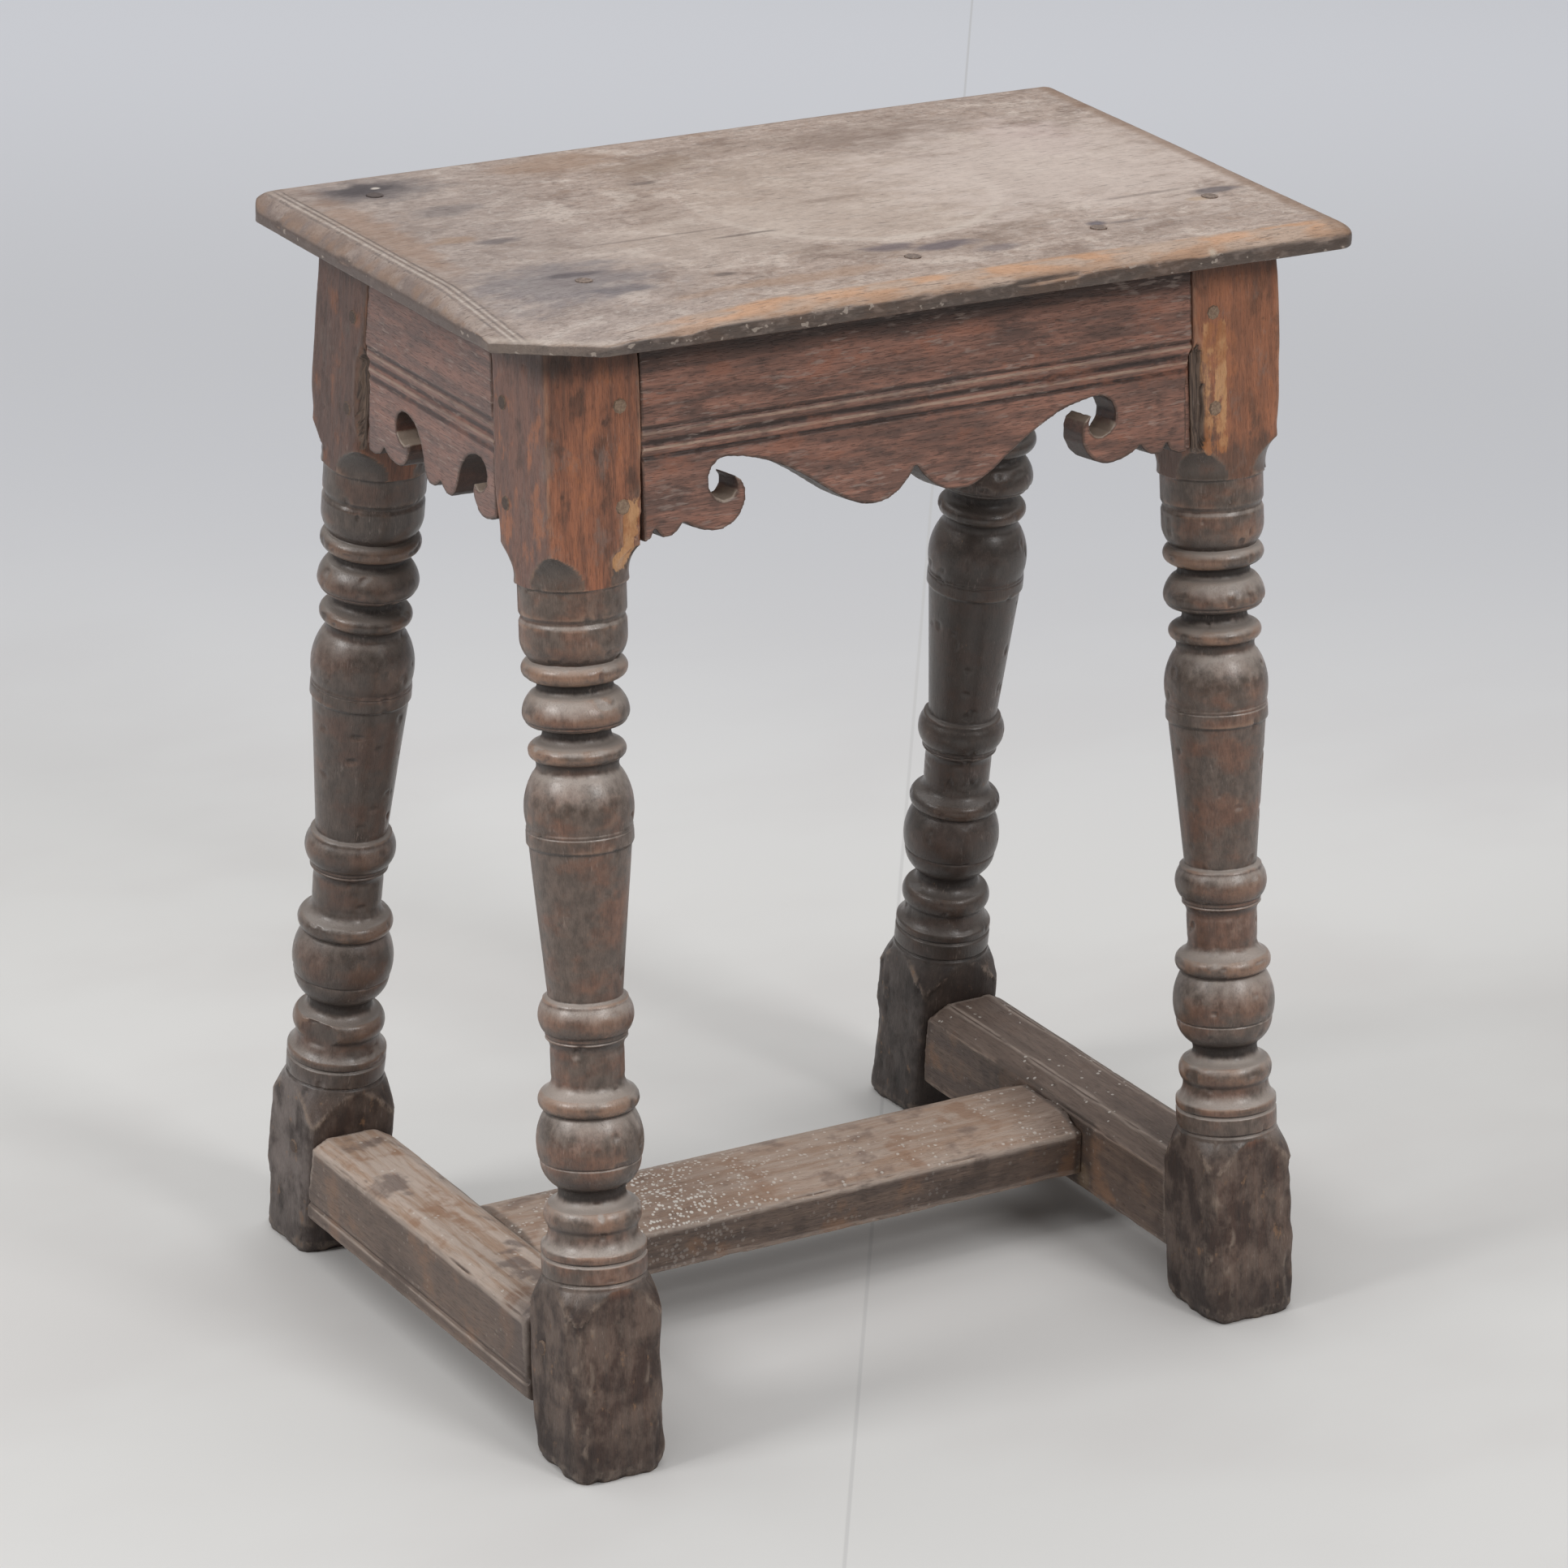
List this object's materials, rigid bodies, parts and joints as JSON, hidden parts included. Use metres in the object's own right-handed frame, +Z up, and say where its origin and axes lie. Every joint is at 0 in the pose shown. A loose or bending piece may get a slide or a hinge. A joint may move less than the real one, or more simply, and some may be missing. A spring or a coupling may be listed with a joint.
{
  "type": "joint stool",
  "caption": "Joined oak stool: moulded board seat on raked turned legs, reeded and scroll-cut aprons, low H-shaped stretchers, held by pegged mortice and tenon joints.",
  "frame": {"origin": "on the floor under the middle of the leg frame", "axes": "+Z up, X along the long side of the seat, -Y towards the front, which is the long side with the splintered apron end; the front left corner of the seat is the broken one"},
  "size_m": [0.4666, 0.3416, 0.5635],
  "materials": {
    "seat_oak": "worn, iron-stained oak with a dull wax sheen",
    "rail_oak": "aged reddish brown oak, waxed",
    "leg_oak": "dark turned oak, waxed and worn on its high places",
    "stretcher_oak": "foot-worn oak, paler on top",
    "peg_oak": "riven oak peg, end grain showing",
    "nail_iron": "dark rusted iron"
  },
  "bodies": {
    "root": {"seat_board": "seat_oak", "seat_nails": "nail_iron", "leg_front_left": "leg_oak", "leg_front_right": "leg_oak", "leg_back_left": "leg_oak", "leg_back_right": "leg_oak", "apron_front": "rail_oak", "apron_back": "rail_oak", "apron_left": "rail_oak", "apron_right": "rail_oak", "stretcher_left": "stretcher_oak", "stretcher_right": "stretcher_oak", "stretcher_middle": "stretcher_oak", "pegs_long_front_left": "peg_oak", "pegs_long_front_right": "peg_oak", "pegs_long_back_left": "peg_oak", "pegs_long_back_right": "peg_oak", "pegs_short_front_left": "peg_oak", "pegs_short_front_right": "peg_oak", "pegs_short_back_left": "peg_oak", "pegs_short_back_right": "peg_oak", "pegs_stretcher_left": "peg_oak", "pegs_stretcher_right": "peg_oak", "pegs_stretcher_middle": "peg_oak"}
  },
  "joints": []
}
